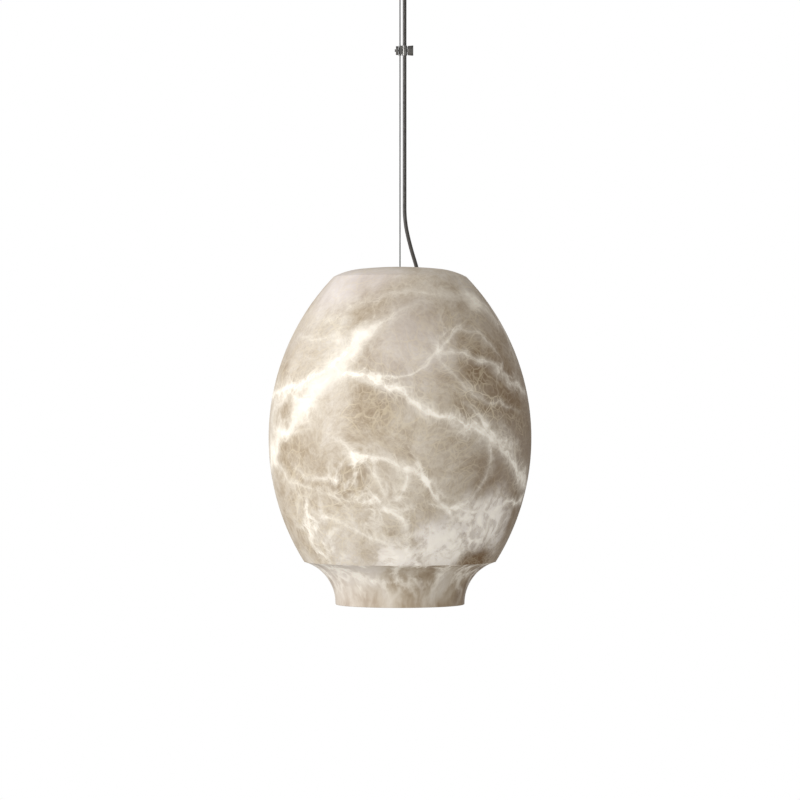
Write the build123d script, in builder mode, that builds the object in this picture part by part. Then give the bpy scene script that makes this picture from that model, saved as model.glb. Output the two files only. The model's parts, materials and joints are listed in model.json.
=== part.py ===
"""Pendant lamp: a turned alabaster shade on a steel wire, with a grey power cord clipped beside it.

Millimetres, +Z up. The origin is the centre of the ceiling face, and the lamp hangs below it on the Z axis.
The wire runs down the Z axis, and the cord runs beside it on the +X side.
"""

import os
from math import asin, atan, cos, degrees, pi, radians, sin, sqrt, tan

from build123d import *

os.makedirs("parts", exist_ok=True)

# Wire and cord
wire_diameter = 1.5
cord_diameter = 4.6
cord_offset = 5.6
core_diameter = 2.0
core_spacing = 2.2
bore_clearance = 0.1
fit_clearance = 0.2

# Screws with a flat round head
screw_slot_width = 1.0
screw_slot_depth = 0.8

# Ceiling canopy and crossbar
canopy_radius = 55.0
canopy_height = 52.0
canopy_wall = 1.5
canopy_edge_radius = 4.0
crossbar_width = 20.0
crossbar_thickness = 2.0
crossbar_bend_radius = 2.5
crossbar_tab_drop = 14.0
crossbar_gap = 0.3
slot_spacing = 60.0
slot_length = 14.0
slot_width = 4.5
side_screw_drop = 8.0
side_screw_radius = 2.0
side_screw_length = 9.0
side_screw_head_radius = 4.0
side_screw_head_height = 2.5
earth_screw_x = 12.0
earth_screw_radius = 2.0
earth_screw_head_radius = 3.5
earth_screw_head_height = 2.0
earth_washer_radius = 4.5
earth_washer_thickness = 0.8

# Swivel: a ball on a nylon seat, in a socket ring that turns in the canopy floor
swing_limit = 10.0
ball_radius = 16.0
ball_top = 11.0
ball_lift = 13.2
seat_thickness = 1.8
seat_upper_angle = 92.0
swivel_clearance = 0.1
socket_wall = 2.0
socket_rim_rise = 2.0
socket_flange_width = 3.0
socket_flange_thickness = 3.0
socket_spigot_wall = 3.5
socket_mouth_clearance = 0.4
stem_wall = 1.4
stem_length = 12.0
stem_chamfer = 0.6
wire_grub_radius = 2.0
wire_grub_rise = 4.5
cord_grub_radius = 1.5
cord_grub_rise = 7.5
grub_recess = 0.5
grub_tip_gap = 0.05
hex_key_share = 0.5
top_ferrule_radius = 2.5
top_ferrule_height = 8.0
wire_tail = 1.5

# Connector that hangs on the two cores inside the canopy
sheath_stub = 2.0
core_rise = 13.3
core_reach = 14.0
connector_y = 26.0
connector_drop = 20.0
connector_width = 20.0
connector_depth = 14.0
connector_height = 11.0
connector_pitch = 9.0
connector_grip = 3.0
connector_screw_radius = 1.6
connector_screw_length = 4.0
connector_screw_inset = 3.6

# Shade: a barrel that is one arc, a domed crown and a coved collar bonded under it
shade_drop = 402.0
shade_radius = 160.0
barrel_arc_radius = 283.0
crown_height = 208.3
dome_rise = 12.1
dome_arc_radius = 470.0
dome_arc_reach = 50.0
shoulder_edge_radius = 3.0
foot_depth = 150.3
stone_wall = 9.0
crown_thickness = 12.0
land_radius = 52.0
land_fall = 2.5
joint_rise = 5.0
joint_run = 2.3
bond_gap = 0.15
seam_reveal = 0.6
collar_height = 52.2
collar_wall = 8.0
rim_radius = 78.6
rim_land = 1.5
rim_edge_radius = 1.0

# Fittings under the crown
eyelet_radius = 3.0
eyelet_bore_radius = 1.05
grommet_x = 21.8
grommet_radius = 5.8
grommet_mouth_radius = 4.4
grommet_throat_radius = 4.0
flush_depth = 0.4
pad_thickness = 2.0
plate_radius = 50.0
plate_thickness = 3.0
stop_washer_radius = 7.0
stop_washer_thickness = 1.5
stop_ferrule_radius = 3.0
stop_ferrule_height = 10.0
gland_spigot_radius = 5.2
gland_hex_flats = 14.0
gland_hex_height = 4.0
gland_nut_radius = 6.6
gland_nut_end_radius = 4.6
gland_nut_height = 6.0
gland_mouth_slack = 1.4
gland_bore_slack = 0.5

# Stirrup and nipple that carry the lampholder
stirrup_width = 16.0
stirrup_thickness = 2.0
stirrup_bend_radius = 2.5
stirrup_half_span = 28.0
stirrup_drop = 83.0
stirrup_flange = 17.0
stirrup_screw_inset = 8.0
stirrup_screw_radius = 2.0
stirrup_screw_head_radius = 3.8
stirrup_screw_head_height = 2.4
nipple_radius = 5.0
nipple_bore_radius = 3.75
nipple_above = 6.0
nipple_below = 9.0
nut_flats = 14.0
nut_height = 3.5
washer_radius = 8.0
washer_thickness = 1.5

# Lampholder for a 27 mm screw cap
holder_neck_radius = 8.0
holder_neck_height = 5.5
holder_cap_radius = 19.5
holder_cap_cone = 11.0
holder_cap_skirt = 12.0
holder_wall = 2.0
holder_body_radius = 20.5
holder_body_height = 34.0
holder_spigot = 5.0
holder_ledge = 1.2
holder_ledge_thickness = 2.0
base_thickness = 10.0
shell_inner_radius = 13.4
shell_wall = 0.5
shell_height = 23.0
shell_eye_radius = 6.0
contact_radius = 4.0
contact_thickness = 0.8
contact_stem_radius = 1.5
contact_drop = 4.0
terminal_x = 9.0
terminal_width = 6.0
terminal_depth = 9.0
terminal_height = 4.0
terminal_split = 2.2
terminal_screw_radius = 1.25
terminal_screw_length = 3.0
terminal_screw_head_radius = 1.9
terminal_screw_head_height = 1.5
core_drop = 5.0
core_end_run = 4.0

# Bulb
bulb_gap = 0.4
tip_radius = 4.0
tip_top_radius = 2.4
tip_height = 2.0
insulator_top_radius = 5.5
insulator_height = 3.6
bulb_cap_radius = 13.1
bulb_cap_wall = 0.5
bulb_cap_height = 20.0
bulb_neck_radius = 14.5
bulb_spigot = 6.0
bulb_housing_height = 36.0
bulb_globe_radius = 30.0
bulb_globe_drop = 5.0
bulb_wall = 1.2
board_thickness = 1.6
led_count = 8
led_circle_radius = 17.0
led_size = 3.0
led_height = 0.8
driver_width = 16.0
driver_height = 22.0
driver_thickness = 1.6

# Cord clip: two sleeves joined by a web, with a thumb screw at each end
clip_drop = 138.4
clip_height = 12.0
clip_clearance = 0.1
wire_sleeve_radius = 1.8
cord_sleeve_radius = 3.05
web_thickness = 2.4
web_arch = 1.9
wire_knob_radius = 5.4
wire_knob_thickness = 2.9
wire_knob_boss_radius = 1.6
wire_knob_boss_height = 1.4
wire_knob_shank_radius = 1.0
cord_knob_radius = 5.7
cord_knob_flare = 0.6
cord_knob_thickness = 6.6
cord_knob_neck_radius = 4.9
cord_knob_neck_length = 0.6
cord_knob_shank_radius = 1.5
knob_gap = 0.3
knob_edge_radius = 0.5
knurl_count = 20
knurl_radius = 0.45

# Levels, worked out from the sizes above
wire_radius = wire_diameter / 2
cord_radius = cord_diameter / 2
core_radius = core_diameter / 2
canopy_floor = canopy_wall - canopy_height
canopy_inner_radius = canopy_radius - canopy_wall
stem_radius = cord_offset + cord_radius + bore_clearance + stem_wall
ball_z = canopy_floor + ball_lift
ball_top_z = ball_z + ball_top
stub_top = ball_top_z + sheath_stub
stem_bottom = -canopy_height - stem_length
clip_z = -clip_drop
apex = -shade_drop
equator = apex - crown_height
shoulder = apex - dome_rise
foot = equator - foot_depth
rim = foot - collar_height
land = apex - crown_thickness
plate_top = land - pad_thickness
plate_bottom = plate_top - plate_thickness
bridge_bottom = plate_bottom - stirrup_drop
bridge_top = bridge_bottom + stirrup_thickness
nipple_bottom = bridge_bottom - nipple_below
holder_top = bridge_bottom - washer_thickness
cap_skirt_top = holder_top - holder_neck_height - holder_cap_cone
cap_bottom = cap_skirt_top - holder_cap_skirt
base_top = cap_bottom + holder_spigot
base_bottom = base_top - base_thickness
terminal_top = base_top + terminal_height
tip_top = base_bottom - contact_drop - bulb_gap
insulator_top = tip_top - tip_height
bulb_cap_top = insulator_top - insulator_height
bulb_cap_bottom = bulb_cap_top - bulb_cap_height
housing_bottom = bulb_cap_bottom - bulb_housing_height
globe_z = housing_bottom - bulb_globe_drop

# The cord's bends beside the wire, through the crown and down to the lampholder: (x, height above the apex)
cord_hole_x = 24.0
cord_bends = [
    (cord_offset, 56.0),
    (12.4, 25.0),
    (cord_hole_x, -12.0),
    (cord_hole_x, -50.0),
    (0.0, -88.0),
]
cord_in_stem = 10.0
cord_end = nipple_bottom + 1.0
bend_share = 0.45


def barrel_radius(z, inset=0.0):
    """Radius of the barrel at a height, or of a surface that lies inset behind it."""
    return shade_radius - barrel_arc_radius + sqrt((barrel_arc_radius - inset) ** 2 - (z - equator) ** 2)


def dome_drop(reach):
    """How far the middle arc of the dome has fallen at a distance from the axis."""
    return dome_arc_radius - sqrt(dome_arc_radius**2 - reach**2)


def bend_radii(points):
    """The natural radius at each corner of a cord's route, from its two runs and its turn."""
    radii = []
    for before, corner, after in zip(points, points[1:], points[2:]):
        run_in = Vector(*corner) - Vector(*before)
        run_out = Vector(*after) - Vector(*corner)
        half_turn = radians(run_in.get_angle(run_out)) / 2
        radii.append(bend_share * min(run_in.length, run_out.length) / tan(half_turn))
    return radii


def tube(points, radius):
    """A round cord along straight runs that are joined by tangent arcs."""
    with BuildPart() as cord:
        with BuildLine() as route:
            FilletPolyline(*points, radius=bend_radii(points))
        with BuildSketch(Plane(origin=route.wire() @ 0, z_dir=route.wire() % 0)):
            Circle(radius)
        sweep(path=route.wire())
    return cord


def rod(radius, bottom, top, x=0.0):
    """A plain upright cylinder."""
    with BuildPart() as piece:
        with BuildSketch(Plane.XY.offset(bottom)):
            with Locations((x, 0)):
                Circle(radius)
        extrude(amount=top - bottom)
    return piece


def ring(outer, inner, bottom, top, x=0.0):
    """A plain upright ring or washer."""
    with BuildPart() as piece:
        with BuildSketch(Plane.XY.offset(bottom)):
            with Locations((x, 0)):
                Circle(outer)
                Circle(inner, mode=Mode.SUBTRACT)
        extrude(amount=top - bottom)
    return piece


def turned(*outline):
    """A lathe piece about the Z axis, from a closed outline of (radius, height) corners."""
    with BuildPart() as piece:
        with BuildSketch(Plane.XZ):
            with BuildLine():
                Polyline(*outline, close=True)
            make_face()
        revolve(axis=Axis.Z)
    return piece


def slotted_screws(seats, shank, length, head, height):
    """Screws with a flat slotted head, which stands on its seat; the shank runs along the seat's axis."""
    with BuildPart() as screws:
        for seat in seats:
            with BuildSketch(seat):
                Circle(shank)
            extrude(amount=length)
            with BuildSketch(seat):
                Circle(head)
            extrude(amount=-height)
            with BuildSketch(seat.offset(-height)):
                Rectangle(3 * head, screw_slot_width)
            extrude(amount=screw_slot_depth, mode=Mode.SUBTRACT)
    return screws


def grub_screw(tip, outwards, radius, length):
    """A headless screw from its tip outwards, with a hexagon socket in its outer end."""
    with BuildPart() as screw:
        with BuildSketch(Plane(origin=tip, z_dir=outwards)):
            Circle(radius)
        extrude(amount=length)
        outer_end = Vector(*tip) + Vector(*outwards) * length
        with BuildSketch(Plane(origin=outer_end, z_dir=outwards)):
            RegularPolygon(radius * hex_key_share, 6)
        extrude(amount=-length * hex_key_share, mode=Mode.SUBTRACT)
    return screw


def bent_strip(plane, points, bend_radius, thickness, width):
    """A flat strip of metal bent along the middle line given by points."""
    with BuildPart() as piece:
        with BuildSketch(plane):
            with BuildLine():
                FilletPolyline(*points, radius=bend_radius)
            trace(line_width=thickness)
        extrude(amount=width / 2, both=True)
    return piece


# Ceiling canopy: a spun cup, open towards the ceiling
socket_radius = ball_radius + seat_thickness + 2 * swivel_clearance
full_tilt = radians(sqrt(2) * swing_limit)


def stem_sweep(depth):
    """How far the stem reaches from the axis, at a depth below the ball, when it leans both ways at once."""
    return stem_radius / cos(full_tilt) + depth * tan(full_tilt) + socket_mouth_clearance


throat_radius = stem_sweep(ball_lift)
mouth_radius = stem_sweep(ball_lift + canopy_wall)
socket_spigot_radius = mouth_radius + socket_spigot_wall
with BuildPart() as canopy_cup:
    with BuildSketch(Plane.XY.offset(-canopy_height)):
        Circle(canopy_radius)
    extrude(amount=canopy_height)
    fillet(canopy_cup.faces().sort_by(Axis.Z)[0].edges(), canopy_edge_radius)
    offset(amount=-canopy_wall, openings=canopy_cup.faces().sort_by(Axis.Z)[-1])
    with BuildSketch(Plane.XY.offset(canopy_floor)):
        Circle(socket_spigot_radius + swivel_clearance)
    extrude(amount=-2 * canopy_wall, mode=Mode.SUBTRACT)
    with BuildSketch(Plane.YZ):
        with Locations((0, -side_screw_drop)):
            Circle(side_screw_radius + fit_clearance)
    extrude(amount=2 * canopy_radius, both=True, mode=Mode.SUBTRACT)

# Crossbar: a steel strip on the ceiling, with a tab bent down at each end for a side screw
tab_face = sqrt(canopy_inner_radius**2 - (crossbar_width / 2) ** 2) - crossbar_gap
tab_middle = tab_face - crossbar_thickness / 2
with BuildPart() as crossbar:
    strip_points = [
        (-tab_middle, -crossbar_tab_drop),
        (-tab_middle, -crossbar_thickness / 2),
        (tab_middle, -crossbar_thickness / 2),
        (tab_middle, -crossbar_tab_drop),
    ]
    add(bent_strip(Plane.XZ, strip_points, crossbar_bend_radius, crossbar_thickness, crossbar_width).part)
    with BuildSketch(Plane.XY):
        with GridLocations(slot_spacing, 0, 2, 1):
            SlotOverall(slot_length, slot_width)
        with Locations((earth_screw_x, 0)):
            Circle(earth_screw_radius + bore_clearance)
    extrude(amount=-crossbar_thickness, mode=Mode.SUBTRACT)
    with BuildSketch(Plane.YZ):
        with Locations((0, -side_screw_drop)):
            Circle(side_screw_radius + bore_clearance)
    extrude(amount=canopy_radius, both=True, mode=Mode.SUBTRACT)

# Two screws hold the canopy to the crossbar's tabs, and one with a washer holds the earth wire
canopy_screws = slotted_screws(
    [Plane((side * canopy_radius, 0, -side_screw_drop), z_dir=(-side, 0, 0)) for side in (-1, 1)],
    side_screw_radius,
    side_screw_length,
    side_screw_head_radius,
    side_screw_head_height,
)
earth_seat = -crossbar_thickness - earth_washer_thickness
earth_washer = ring(
    earth_washer_radius, earth_screw_radius + bore_clearance, earth_seat, -crossbar_thickness, earth_screw_x
)
earth_screw = slotted_screws(
    [Plane((earth_screw_x, 0, earth_seat))],
    earth_screw_radius,
    crossbar_thickness + earth_washer_thickness - fit_clearance,
    earth_screw_head_radius,
    earth_screw_head_height,
)

# Socket ring: a turned ring with a spherical cup, which turns on its spigot in the canopy floor
with BuildPart() as socket_ring:
    with BuildSketch(Plane.XZ):
        with BuildLine():
            throat_angle = atan(sqrt(socket_radius**2 - throat_radius**2) / throat_radius)
            cup = CenterArc((0, ball_z), socket_radius, 0, -degrees(throat_angle))
            rim_top = ball_z + socket_rim_rise
            flange_bottom = canopy_floor + swivel_clearance
            flange_top = flange_bottom + socket_flange_thickness
            wall_radius = socket_radius + socket_wall
            Polyline(
                cup @ 0,
                (socket_radius, rim_top),
                (wall_radius, rim_top),
                (wall_radius, flange_top),
                (wall_radius + socket_flange_width, flange_top),
                (wall_radius + socket_flange_width, flange_bottom),
                (socket_spigot_radius, flange_bottom),
                (socket_spigot_radius, -canopy_height),
                (mouth_radius, -canopy_height),
                cup @ 1,
            )
        make_face()
    revolve(axis=Axis.Z)

# Seat ring: a spherical nylon liner for the ball, cut off where it just clears the leaning stem
seat_inner = ball_radius + swivel_clearance
lean = sin(radians(swing_limit))
stem_reach = stem_radius * cos(radians(swing_limit)) + socket_mouth_clearance
seat_lower_angle = degrees(atan(lean) + asin(stem_reach / (seat_inner * sqrt(1 + lean**2))))
with BuildPart() as seat_ring:
    with BuildSketch(Plane.XZ):
        with BuildLine():
            seat_start = seat_lower_angle - 90
            seat_sweep = seat_upper_angle - seat_lower_angle
            inner_arc = CenterArc((0, ball_z), seat_inner, seat_start, seat_sweep)
            outer_arc = CenterArc((0, ball_z), seat_inner + seat_thickness, seat_start, seat_sweep)
            Line(inner_arc @ 0, outer_arc @ 0)
            Line(inner_arc @ 1, outer_arc @ 1)
        make_face()
    revolve(axis=Axis.Z)

# Swivel ball: the ball and its stem in one piece, bored for the wire, the cord and their two grub screws
wire_grub_z = stem_bottom + wire_grub_rise
cord_grub_z = stem_bottom + cord_grub_rise
with BuildPart() as swivel_ball:
    with BuildSketch(Plane.XZ):
        with BuildLine():
            top_radius = sqrt(ball_radius**2 - ball_top**2)
            neck_z = ball_z - sqrt(ball_radius**2 - stem_radius**2)
            ThreePointArc((top_radius, ball_top_z), (ball_radius, ball_z), (stem_radius, neck_z))
            Polyline(
                (stem_radius, neck_z),
                (stem_radius, stem_bottom + stem_chamfer),
                (stem_radius - stem_chamfer, stem_bottom),
                (0, stem_bottom),
                (0, ball_top_z),
                (top_radius, ball_top_z),
            )
        make_face()
    revolve(axis=Axis.Z)
    with BuildSketch(Plane.XY.offset(stem_bottom)):
        Circle(wire_radius + bore_clearance)
        with Locations((cord_offset, 0)):
            Circle(cord_radius + bore_clearance)
    extrude(amount=ball_top_z - stem_bottom, mode=Mode.SUBTRACT)
    with BuildSketch(Plane((0, 0, wire_grub_z), z_dir=(-1, 0, 0))):
        Circle(wire_grub_radius + bore_clearance)
    extrude(amount=ball_radius, mode=Mode.SUBTRACT)
    with BuildSketch(Plane((cord_offset, 0, cord_grub_z), z_dir=(0, -1, 0))):
        Circle(cord_grub_radius + bore_clearance)
    extrude(amount=ball_radius, mode=Mode.SUBTRACT)

wire_grub_tip = wire_radius + grub_tip_gap
wire_grub = grub_screw(
    (-wire_grub_tip, 0, wire_grub_z),
    (-1, 0, 0),
    wire_grub_radius,
    stem_radius - grub_recess - wire_grub_tip,
)
cord_grub_tip = cord_radius + grub_tip_gap
stem_flank = sqrt(stem_radius**2 - cord_offset**2)
cord_grub = grub_screw(
    (cord_offset, -cord_grub_tip, cord_grub_z),
    (0, -1, 0),
    cord_grub_radius,
    stem_flank - grub_recess - cord_grub_tip,
)

# Steel wire, with a crimped ferrule on each end and a washer under the load plate
crimp_bore = wire_radius + bore_clearance / 2
top_ferrule_top = ball_top_z + top_ferrule_height
stop_ferrule_top = plate_bottom - stop_washer_thickness
stop_ferrule_bottom = stop_ferrule_top - stop_ferrule_height
suspension_wire = rod(wire_radius, stop_ferrule_bottom - wire_tail, top_ferrule_top + wire_tail)
top_ferrule = ring(top_ferrule_radius, crimp_bore, ball_top_z, top_ferrule_top)
stop_ferrule = ring(stop_ferrule_radius, crimp_bore, stop_ferrule_bottom, stop_ferrule_top)
stop_washer = ring(stop_washer_radius, crimp_bore, stop_ferrule_top, plate_bottom)

# Power cord from the stem to the lampholder, and its tail inside the swivel ball
cord_start = stem_bottom + cord_in_stem
cord_route = [(cord_offset, 0, cord_start)]
cord_route += [(x, 0, apex + height) for x, height in cord_bends]
cord_route += [(0, 0, cord_end)]
power_cord = tube(cord_route, cord_radius)
cord_tail = rod(cord_radius, cord_start, stub_top, cord_offset)
print("cord bend radii, mm:", [round(radius, 1) for radius in bend_radii(cord_route)])
print("cord length, mm:", round(power_cord.part.volume / (pi * cord_radius**2), 1))

# Two insulated cores leave the stripped sheath and carry the connector
connector_z = -connector_drop
ports = [cord_offset + side * connector_pitch / 2 for side in (-1, 1)]
core_starts = [cord_offset + side * core_spacing / 2 for side in (-1, 1)]
with BuildPart() as canopy_cores:
    for start_x, port_x in zip(core_starts, ports):
        core_route = [
            (start_x, 0, stub_top),
            (start_x, 0, stub_top + core_rise),
            (port_x, core_reach, stub_top + core_rise),
            (port_x, connector_y - connector_grip, connector_z),
            (port_x, connector_y + connector_grip, connector_z),
        ]
        add(tube(core_route, core_radius).part)

screw_rows = (connector_y + connector_screw_inset, connector_y + connector_depth - connector_screw_inset)
screw_places = [(x, y) for x in ports for y in screw_rows]
with BuildPart() as connector_block:
    with BuildSketch(Plane.XZ.offset(-connector_y)):
        with Locations((cord_offset, connector_z)):
            Rectangle(connector_width, connector_height)
        with Locations(*[(x, connector_z) for x in ports]):
            Circle(core_radius + bore_clearance, mode=Mode.SUBTRACT)
    extrude(amount=-connector_depth)
    with BuildSketch(Plane.XY.offset(connector_z + connector_height / 2)):
        with Locations(*screw_places):
            Circle(connector_screw_radius + bore_clearance)
    extrude(amount=-connector_height / 2, mode=Mode.SUBTRACT)
with BuildPart() as connector_screws:
    with BuildSketch(Plane.XY.offset(connector_z + core_radius + grub_tip_gap)):
        with Locations(*screw_places):
            Circle(connector_screw_radius)
    extrude(amount=connector_screw_length)

# Shade barrel: turned stone, with a flat land inside the crown and a stepped seat for the collar
foot_radius = barrel_radius(foot)
seat_z = foot + joint_rise
inner_shoulder = land - land_fall
with BuildPart() as shade_barrel:
    with BuildSketch(Plane.XZ):
        with BuildLine():
            half_reach = dome_arc_reach / 2
            dome = ThreePointArc(
                (0, apex),
                (half_reach, apex - dome_drop(half_reach)),
                (dome_arc_reach, apex - dome_drop(dome_arc_reach)),
            )
            TangentArc(dome @ 1, (barrel_radius(shoulder), shoulder), tangent=dome % 1)
            ThreePointArc((barrel_radius(shoulder), shoulder), (shade_radius, equator), (foot_radius, foot))
            Polyline(
                (foot_radius, foot),
                (foot_radius - joint_run, seat_z),
                (barrel_radius(seat_z, stone_wall), seat_z),
            )
            ThreePointArc(
                (barrel_radius(seat_z, stone_wall), seat_z),
                (shade_radius - stone_wall, equator),
                (barrel_radius(inner_shoulder, stone_wall), inner_shoulder),
            )
            Polyline(
                (barrel_radius(inner_shoulder, stone_wall), inner_shoulder),
                (land_radius, land),
                (0, land),
                (0, apex),
            )
        make_face()
    revolve(axis=Axis.Z)
    circles = shade_barrel.edges().filter_by(GeomType.CIRCLE)
    shoulder_edge = circles.filter_by_position(Axis.Z, shoulder - fit_clearance, shoulder + fit_clearance)
    fillet(shoulder_edge, shoulder_edge_radius)
    with BuildSketch(Plane.XY.offset(apex)):
        Circle(eyelet_radius + bore_clearance)
        with Locations((grommet_x, 0)):
            Circle(grommet_radius + bore_clearance)
    extrude(amount=-crown_thickness, mode=Mode.SUBTRACT)

# Shade collar: a coved ring of the same stone, bonded into the barrel's seat just behind its corner
collar_top = foot - bond_gap
collar_seat = seat_z - bond_gap
collar_radius = foot_radius - seam_reveal
cove_start = rim + rim_land
cove_reach = collar_radius - rim_radius
cove_rise = collar_top - cove_start
cove_radius = (cove_reach**2 + cove_rise**2) / (2 * cove_reach)


def cove_inner(z):
    """Radius of the collar's inner face, which lies one wall thickness behind the cove."""
    return rim_radius + cove_radius - sqrt((cove_radius + collar_wall) ** 2 - (z - cove_start) ** 2)


with BuildPart() as shade_collar:
    with BuildSketch(Plane.XZ):
        with BuildLine():
            TangentArc((rim_radius, cove_start), (collar_radius, collar_top), tangent=(0, 1))
            Polyline(
                (collar_radius, collar_top),
                (collar_radius - joint_run, collar_seat),
                (cove_inner(collar_seat), collar_seat),
            )
            middle = (collar_seat + cove_start) / 2
            ThreePointArc(
                (cove_inner(collar_seat), collar_seat),
                (cove_inner(middle), middle),
                (cove_inner(cove_start), cove_start),
            )
            Polyline(
                (rim_radius - collar_wall, cove_start),
                (rim_radius - collar_wall, rim),
                (rim_radius, rim),
                (rim_radius, cove_start),
            )
        make_face()
    revolve(axis=Axis.Z)
    fillet(shade_collar.faces().sort_by(Axis.Z)[0].edges(), rim_edge_radius)

# Eyelet and grommet line the two holes in the crown, and the pad and plate carry the stone
wire_eyelet = ring(eyelet_radius, eyelet_bore_radius, plate_top, apex - flush_depth)
grommet_top = apex - dome_drop(grommet_x + grommet_radius) - flush_depth
grommet_height = grommet_top - plate_top
with BuildPart() as cord_grommet:
    add(rod(grommet_radius, plate_top, grommet_top, grommet_x).part)
    with Locations((grommet_x, 0, plate_top + grommet_height / 2)):
        Cone(grommet_throat_radius, grommet_mouth_radius, grommet_height, mode=Mode.SUBTRACT)

stirrup_screw_y = stirrup_half_span + stirrup_flange - stirrup_screw_inset
stirrup_screw_places = [(0, -stirrup_screw_y), (0, stirrup_screw_y)]
with BuildPart() as load_pad:
    with BuildSketch(Plane.XY.offset(plate_top)):
        Circle(plate_radius)
        Circle(eyelet_radius + fit_clearance, mode=Mode.SUBTRACT)
        with Locations((grommet_x, 0)):
            Circle(grommet_radius + fit_clearance, mode=Mode.SUBTRACT)
    extrude(amount=pad_thickness)
with BuildPart() as load_plate:
    with BuildSketch(Plane.XY.offset(plate_bottom)):
        Circle(plate_radius)
        Circle(wire_radius + bore_clearance, mode=Mode.SUBTRACT)
        with Locations((cord_hole_x, 0)):
            Circle(gland_spigot_radius + bore_clearance, mode=Mode.SUBTRACT)
        with Locations(*stirrup_screw_places):
            Circle(stirrup_screw_radius + bore_clearance, mode=Mode.SUBTRACT)
    extrude(amount=plate_thickness)

# Cord gland under the plate: its nut squeezes the cord, so that the cord carries no weight
gland_bore = cord_radius + gland_bore_slack
gland_hex_bottom = plate_bottom - gland_hex_height
gland_mouth_height = plate_top - gland_hex_bottom
with BuildPart() as gland_body:
    with BuildSketch(Plane.XY.offset(gland_hex_bottom)):
        with Locations((cord_hole_x, 0)):
            RegularPolygon(gland_hex_flats / 2, 6, major_radius=False)
    extrude(amount=gland_hex_height)
    add(rod(gland_spigot_radius, plate_bottom, plate_top, cord_hole_x).part)
    with Locations((cord_hole_x, 0, gland_hex_bottom + gland_mouth_height / 2)):
        Cone(gland_bore, cord_radius + gland_mouth_slack, gland_mouth_height, mode=Mode.SUBTRACT)
with BuildPart() as gland_nut:
    with Locations((cord_hole_x, 0, gland_hex_bottom - gland_nut_height / 2)):
        Cone(gland_nut_end_radius, gland_nut_radius, gland_nut_height)
        Cylinder(gland_bore, gland_nut_height, mode=Mode.SUBTRACT)

# Stirrup: a bent strip under the plate that carries the lampholder clear of the wire's end
flange_middle = plate_bottom - stirrup_thickness / 2
bridge_middle = bridge_bottom + stirrup_thickness / 2
flange_end = stirrup_half_span + stirrup_flange
with BuildPart() as stirrup:
    stirrup_points = [
        (-flange_end, flange_middle),
        (-stirrup_half_span, flange_middle),
        (-stirrup_half_span, bridge_middle),
        (stirrup_half_span, bridge_middle),
        (stirrup_half_span, flange_middle),
        (flange_end, flange_middle),
    ]
    add(bent_strip(Plane.YZ, stirrup_points, stirrup_bend_radius, stirrup_thickness, stirrup_width).part)
    with BuildSketch(Plane.XY.offset(plate_bottom)):
        with Locations(*stirrup_screw_places):
            Circle(stirrup_screw_radius + bore_clearance)
        Circle(nipple_radius + bore_clearance)
    extrude(amount=-2 * stirrup_drop, mode=Mode.SUBTRACT)
stirrup_screws = slotted_screws(
    [Plane((x, y, plate_bottom - stirrup_thickness)) for x, y in stirrup_screw_places],
    stirrup_screw_radius,
    stirrup_thickness + plate_thickness - fit_clearance,
    stirrup_screw_head_radius,
    stirrup_screw_head_height,
)

# Nipple, nut and washer fix the lampholder to the stirrup's bridge
nipple = ring(nipple_radius, nipple_bore_radius, nipple_bottom, bridge_top + nipple_above)
nipple_washer = ring(washer_radius, nipple_radius + bore_clearance, holder_top, bridge_bottom)
with BuildPart() as nipple_nut:
    with BuildSketch(Plane.XY.offset(bridge_top)):
        RegularPolygon(nut_flats / 2, 6, major_radius=False)
        Circle(nipple_radius + bore_clearance, mode=Mode.SUBTRACT)
    extrude(amount=nut_height)

# Lampholder: cap, body, insulating base, screw shell, middle contact and two terminals
cap_inner = holder_cap_radius - holder_wall
cap_neck_bottom = holder_top - holder_neck_height
holder_cap = turned(
    (nipple_radius + bore_clearance, holder_top),
    (holder_neck_radius, holder_top),
    (holder_neck_radius, cap_neck_bottom),
    (holder_cap_radius, cap_skirt_top),
    (holder_cap_radius, cap_bottom),
    (cap_inner, cap_bottom),
    (cap_inner, cap_skirt_top),
    (holder_neck_radius - holder_wall, cap_neck_bottom),
    (nipple_radius + bore_clearance, cap_neck_bottom),
)
spigot_radius = cap_inner - bore_clearance
base_seat_radius = spigot_radius - holder_wall
ledge_radius = base_seat_radius - holder_ledge
ledge_bottom = base_bottom - holder_ledge_thickness
holder_bottom = cap_bottom - holder_body_height
holder_body = turned(
    (holder_body_radius, holder_bottom),
    (holder_body_radius, cap_bottom),
    (spigot_radius, cap_bottom),
    (spigot_radius, base_top),
    (base_seat_radius, base_top),
    (base_seat_radius, base_bottom),
    (ledge_radius, base_bottom),
    (ledge_radius, ledge_bottom),
    (holder_body_radius - holder_wall, ledge_bottom - holder_wall),
    (holder_body_radius - holder_wall, holder_bottom),
)
holder_base = ring(
    base_seat_radius - bore_clearance, contact_stem_radius + bore_clearance, base_bottom, base_top
)
shell_outer_radius = shell_inner_radius + shell_wall
holder_shell = turned(
    (shell_eye_radius, base_bottom),
    (shell_outer_radius, base_bottom),
    (shell_outer_radius, base_bottom - shell_height),
    (shell_inner_radius, base_bottom - shell_height),
    (shell_inner_radius, base_bottom - shell_wall),
    (shell_eye_radius, base_bottom - shell_wall),
)
contact_bottom = base_bottom - contact_drop
holder_contact = turned(
    (0, contact_bottom),
    (contact_radius, contact_bottom),
    (contact_radius, contact_bottom + contact_thickness),
    (contact_stem_radius, contact_bottom + contact_thickness),
    (contact_stem_radius, base_top),
    (0, base_top),
)
with BuildPart() as holder_terminals:
    with BuildSketch(Plane.XY.offset(base_top)):
        with GridLocations(2 * terminal_x, 0, 2, 1):
            Rectangle(terminal_width, terminal_depth)
        with Locations(*[(side * terminal_x, terminal_split) for side in (-1, 1)]):
            Circle(terminal_screw_radius + bore_clearance, mode=Mode.SUBTRACT)
    extrude(amount=terminal_height)
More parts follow.
